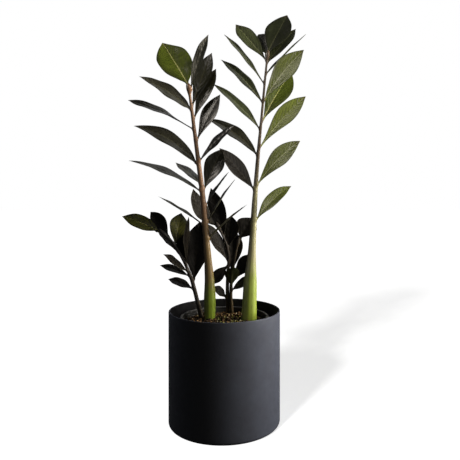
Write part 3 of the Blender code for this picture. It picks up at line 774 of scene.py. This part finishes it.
def soil_height(x, y, radius, edge, stems):
    """Top of the soil: edge + crown * (1 - share ** 2) + lumps of three sizes + a collar at each stem.

    share is the distance out as a share of the radius, and a collar falls off exponentially.
    """
    share = np.clip(np.hypot(x, y) / radius, 0, 1)
    height = edge + SOIL_CROWN * (1 - share ** 2)
    for tall, size, seed in SOIL_LUMPS:
        height = height + tall * lumps(x, y, size, seed)
    for stem in stems.values():
        foot = stem.foot_at(edge)
        gap = np.maximum(np.hypot(x - foot[0], y - foot[1]) - stem.girth[0], 0)
        height = height + COLLAR_HEIGHT * np.exp(-gap / COLLAR_REACH)
    return height


def make_soil(stems):
    """Soil: rings from the middle out to the pot's wall carry the lumpy top, then the wall and the base."""
    low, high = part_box("soil")
    radius, edge = high.x - SOIL_CLEARANCE, high.z - SOIL_CROWN
    base_radius = radius - POT_TAPER * SOIL_TAPER_SHARE
    reach = np.linspace(0, 1, SOIL_RINGS + 1)[1:]
    profile = np.vstack(([(0, edge)], np.column_stack((radius * reach, np.full(len(reach), edge))),
                         [(base_radius, low.z), (0, low.z)]))
    points, faces = turned(profile, SOIL_SIDES)
    crown = np.arange(SOIL_RINGS * SOIL_SIDES)
    x, y = points[crown, 0], points[crown, 1]
    points[crown, 2] = soil_height(x, y, radius, edge, stems)
    points[-2, 2] = soil_height(np.zeros(1), np.zeros(1), radius, edge, stems)[0]
    build("soil", points, faces, potting_mix(), "potting_mix", ["soil"], smooth=80)
    return radius, edge


def rough_pebble():
    """A small faceted ball: an icosahedron with each face cut in four, as points and faces."""
    bm = bmesh.new()
    bmesh.ops.create_icosphere(bm, subdivisions=2, radius=1.0)
    points = np.array([vert.co[:] for vert in bm.verts])
    faces = np.array([[vert.index for vert in face.verts] for face in bm.faces])
    bm.free()
    return points, faces


TRIES_PER_BIT = 12                   # places drawn for each bit, of which those that are free are used
WALL_CLEAR = 2.5 * MM                # from a bit's middle to the soil's edge
KNOCK = 0.22                         # how far a point is knocked in or out, as a share of the bit
TILT = 0.5                           # how far a bit's axes are turned: 0 for level, 1 for any way up
SINK = 0.3                           # share of a bit's least radius that lies in the soil


def scatter(name, count, size, shape, look, soil, stems, seed, centre=(0, 0), spread=1.0):
    """Loose bits on the soil: each is the faceted ball pulled to its own size and shape, knocked about
    point by point, turned at random and set on the soil, clear of stems and of the pot's wall.

    size is the least and most radius, and shape the least and most that each axis is stretched. The bits
    lie round centre, over spread of the soil's radius.
    """
    radius, edge = soil
    draw = np.random.default_rng(seed)
    ball, ball_faces = rough_pebble()
    turn = draw.uniform(0, 2 * math.pi, TRIES_PER_BIT * count)
    reach = np.sqrt(draw.uniform(0, 1, TRIES_PER_BIT * count)) * (radius - 3.0 * MM) * spread
    x, y = centre[0] + reach * np.cos(turn), centre[1] + reach * np.sin(turn)
    free = np.hypot(x, y) < radius - WALL_CLEAR
    for stem in stems.values():
        foot = stem.foot_at(edge)
        free &= np.hypot(x - foot[0], y - foot[1]) > stem.girth[0] + size[0]
    x, y = x[free][:count], y[free][:count]
    count = len(x)
    scale = draw.uniform(size[0], size[1], count)[:, None] * draw.uniform(shape[0], shape[1], (count, 3))
    bits = ball[None] * (1 + draw.uniform(-KNOCK, KNOCK, (count, len(ball), 1))) * scale[:, None]
    axes = np.linalg.qr(draw.normal(size=(count, 3, 3)))[0]
    flat = np.eye(3) + TILT * (axes - np.eye(3))
    bits = np.einsum("npk,nkj->npj", bits, np.linalg.qr(flat)[0])
    z = soil_height(x, y, radius, edge, stems) + scale.min(axis=1) * (1 - SINK)
    bits = bits + np.column_stack((x, y, z))[:, None]
    faces = (ball_faces[None] + (np.arange(count) * len(ball))[:, None, None]).reshape(-1, 3)
    build(name, bits.reshape(-1, 3), faces.tolist(), look, "potting_mix", [], smooth=30,
          tone=np.repeat(draw.uniform(0, 1, count), len(ball)))


# ---------------------------------------------------------------- studio

FLOOR_REACH = 6.0
FLOOR_GLOW = 0.79                    # what the floor gives off; the shadow light adds the rest of its white
WORLD_DIM = 0.008                    # what the surroundings give to dull surfaces
WORLD_GLOSS = 0.05                   # and what they add in reflections
SHADOW_POWER, SHADOW_SOFTNESS = 2.0, math.radians(7)
SHADOW_WAY = (0.44, 0.90, -0.50)     # away from the front and to the right, where the shadow falls
WHITE = "#ffffff"

# Each light: where it is, where it points, its size in metres, watts, colour, spread in degrees, which
# light it gives, and whether to the tall fronds alone.
LIGHTS = {
    "key_right": ((0.80, 0.06, 0.58), (0, 0, 0.50), (0.85, 0.80), 24, "#fffaf2", 84, "dull", False),
    "sheen_right": ((1.1, -0.7, 0.7), (0, 0, 0.35), (1.6, 1.5), 16, "#fff6ea", 180, "gloss", False),
    "fill_left": ((-1.2, -0.5, 0.7), (0, 0, 0.3), (0.8, 1.2), 0.25, "#eef2ff", 180, "both", False),
    "top_back": ((0.25, 0.9, 1.3), (0, 0, 0.35), (0.9, 0.6), 1.0, WHITE, 180, "both", False),
    "sheen_left": ((-0.8, -0.45, 1.0), (0, 0, 0.45), (0.5, 0.6), 4.5, "#fff6ea", 120, "gloss", True),
    "front_soft": ((0.85, -0.95, 1.05), (0, 0, 0.42), (0.7, 0.7), 8, "#fff8ee", 120, "dull", True),
    "fill_behind": ((-1.1, 0.75, 0.6), (0, 0, 0.28), (0.9, 1.1), 5, "#f2f4ff", 180, "dull", False),
}

CAMERA_PLACE = (0.042, -0.771, 0.322)
CAMERA_LENS, CAMERA_SENSOR = 44.53, 36.0
CAMERA_SHIFT = (-0.0554, -0.1)


def area_light(name, place, target, size, power, colour, spread, gives):
    """A rectangular soft light aimed at a point, for dull light, for gloss or for both."""
    lamp = bpy.data.lights.new(name, "AREA")
    lamp.shape = "RECTANGLE"
    lamp.size, lamp.size_y = size
    lamp.energy = power
    lamp.color = srgb(colour)[:3]
    lamp.spread = math.radians(spread)
    made = bpy.data.objects.new(name, lamp)
    bpy.context.scene.collection.objects.link(made)
    made.location = place
    made.rotation_euler = (Vector(target) - Vector(place)).to_track_quat("-Z", "Y").to_euler()
    made.visible_glossy = gives != "dull"
    made.visible_diffuse = gives != "gloss"
    return made


def make_floor():
    """Pale floor that glows almost to white by itself, so that only one light's soft shadow shows on it."""
    mesh = bpy.data.meshes.new("studio_floor")
    mesh.from_pydata([(-FLOOR_REACH, -FLOOR_REACH, 0), (FLOOR_REACH, -FLOOR_REACH, 0),
                      (FLOOR_REACH, FLOOR_REACH, 0), (-FLOOR_REACH, FLOOR_REACH, 0)], [], [(0, 1, 2, 3)])
    made, _, shader = surface("white_paper_floor", 0.9, specular=0.0)
    shader.inputs["Base Color"].default_value = srgb("#fbfbfa")
    shader.inputs["Emission Color"].default_value = srgb(WHITE)
    shader.inputs["Emission Strength"].default_value = FLOOR_GLOW
    mesh.materials.append(made)
    floor = bpy.data.objects.new("studio_floor", mesh)
    bpy.context.scene.collection.objects.link(floor)
    floor.visible_diffuse = False
    floor.visible_glossy = False
    return floor


def light_only(lamp, pieces):
    """Let a lamp light these pieces and nothing else; every piece still casts its shadow."""
    lit = bpy.data.collections.new(lamp.name + "_lights")
    for piece in pieces:
        lit.objects.link(piece)
    lamp.light_linking.receiver_collection = lit


def make_floor_shadow(floor):
    """A low sun that only the floor receives, for one soft shadow to the right and away from the front."""
    sun = bpy.data.lights.new("floor_shadow", "SUN")
    sun.energy, sun.angle = SHADOW_POWER, SHADOW_SOFTNESS
    shadow = bpy.data.objects.new("floor_shadow", sun)
    bpy.context.scene.collection.objects.link(shadow)
    shadow.rotation_euler = Vector(SHADOW_WAY).to_track_quat("-Z", "Y").to_euler()
    light_only(shadow, [floor])


def make_world():
    """Surroundings that look white, give dull surfaces almost no light, and reflections a little."""
    world = bpy.data.worlds.new("studio_world")
    bpy.context.scene.world = world
    world.use_nodes = True
    tree = world.node_tree
    rays = node(tree, "LightPath").outputs
    seen = node(tree, "Math", {0: rays["Is Camera Ray"], 1: 1.0 - WORLD_DIM}, operation="MULTIPLY").outputs[0]
    mirrored = node(tree, "Math", {0: rays["Is Glossy Ray"], 1: WORLD_GLOSS}, operation="MULTIPLY").outputs[0]
    strength = node(tree, "Math", {0: seen, 1: mirrored}, operation="ADD").outputs[0]
    strength = node(tree, "Math", {0: strength, 1: WORLD_DIM}, operation="ADD").outputs[0]
    back = tree.nodes["Background"]
    back.inputs["Color"].default_value = srgb(WHITE)
    tree.links.new(strength, back.inputs["Strength"])


def make_studio(pieces):
    """Pale floor and surroundings, a large soft light on the plant's right, and weak ones elsewhere.

    Each light is kept off the floor, which has a light of its own for the shadow.
    """
    floor = make_floor()
    tall = [piece for piece in pieces if "_tall" in piece.name]
    for name, (*settings, only_tall) in LIGHTS.items():
        light_only(area_light(name, *settings), tall if only_tall else pieces)
    make_floor_shadow(floor)
    make_world()
    bpy.context.scene.view_settings.view_transform = "Standard"


def make_camera():
    """Level camera in front of the plant, a little to its right, shifted to frame it low and left."""
    lens = bpy.data.cameras.new("camera")
    lens.lens, lens.sensor_width = CAMERA_LENS, CAMERA_SENSOR
    lens.shift_x, lens.shift_y = CAMERA_SHIFT
    camera = bpy.data.objects.new("camera", lens)
    camera.location = CAMERA_PLACE
    camera.rotation_euler = (math.radians(90), 0, 0)
    bpy.context.scene.collection.objects.link(camera)
    bpy.context.scene.camera = camera


# ---------------------------------------------------------------- assembly

make_camera()
make_planter()
make_nursery_pot()

stems = {key: Stem(key) for key in STEM_SIDES_OF}
leaf_names = sorted(name[len("leaflet_"):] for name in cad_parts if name.startswith("leaflet_"))
for leaf_number, leaf_name in enumerate(leaf_names):
    make_leaflet(leaf_name, leaf_number, Blade(leaf_name), stems[leaf_name.rpartition("_")[0]])
soil_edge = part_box("soil")[1].z - SOIL_CROWN
for stem_key, stem in stems.items():
    make_stem(stem_key, stem, soil_edge)

soil = make_soil(stems)
scatter("bark_chips", 300, (1.0 * MM, 2.4 * MM), (0.35, 1.3),
        crumb_material("composted_bark", "#140d07", "#523c21", 0.85), soil, stems, seed=11)
scatter("pumice_grit", 70, (0.5 * MM, 1.1 * MM), (0.7, 1.2),
        crumb_material("pumice_grit", "#5f583f", "#a59d80", 0.8), soil, stems, seed=12)
scatter("moss_bits", 150, (0.6 * MM, 1.3 * MM), (0.5, 1.2),
        crumb_material("moss_crumbs", "#2a2a0e", "#75723a", 0.9), soil, stems, seed=13,
        centre=(0.012, 0.0), spread=0.45)

make_studio([thing for thing in bpy.context.scene.objects if thing.type == "MESH"])
